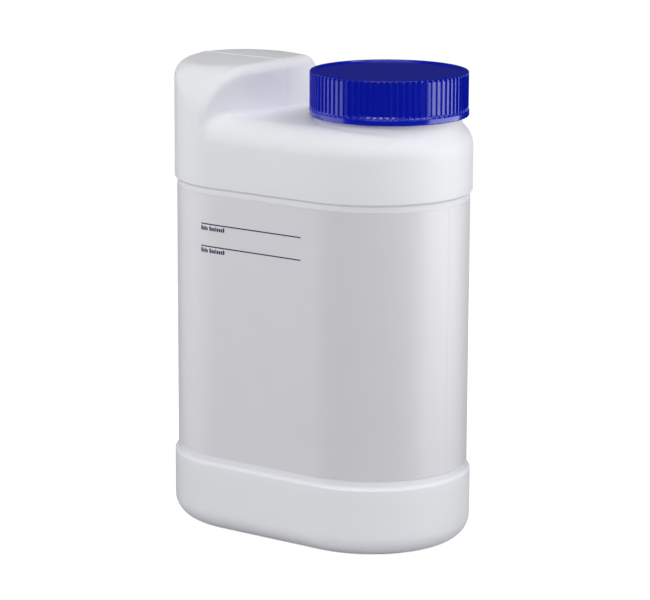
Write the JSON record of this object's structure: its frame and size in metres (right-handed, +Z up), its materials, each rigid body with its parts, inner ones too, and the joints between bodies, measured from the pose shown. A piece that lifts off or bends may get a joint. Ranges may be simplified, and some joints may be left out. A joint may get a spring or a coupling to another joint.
{
  "type": "wide-neck reagent bottle",
  "caption": "Wide-neck plastic reagent bottle with a grip block beside the neck, a ribbed screw cap with a liner, and a wrap label.",
  "frame": {"origin": "centre of the base, on the surface that the bottle stands on", "axes": "+Z up along the bottle's height, +X from the grip block towards the neck, +Y across the narrow width"},
  "size_m": [0.166, 0.1026, 0.2417],
  "materials": {
    "bottle_plastic": "natural translucent blow-moulded polyethylene, satin",
    "label_paper": "off-white coated paper, matte, with two ruled lines",
    "cap_plastic": "deep blue moulded polypropylene, semi-gloss",
    "liner_foam": "white foamed polyethylene wad, matte"
  },
  "bodies": {
    "bottle": {"bottle_body": "bottle_plastic", "wrap_label": "label_paper"},
    "liner": {"cap_liner": "liner_foam"},
    "cap": {"screw_cap": "cap_plastic"}
  },
  "joints": [
    {"name": "cap_rise", "type": "slide", "parent": "bottle", "child": "liner", "axis": [0, 0, 1], "range_m": [0, 0.021]},
    {"name": "cap_turn", "type": "hinge", "parent": "liner", "child": "cap", "pos_m": [0.0415, 0, 0.23], "axis": [0, 0, 1], "range_deg": [0, 1440]}
  ],
  "couplings": [
    {"joint": "cap_rise", "follows": "cap_turn", "m_per_rad": 0.00079577}
  ]
}
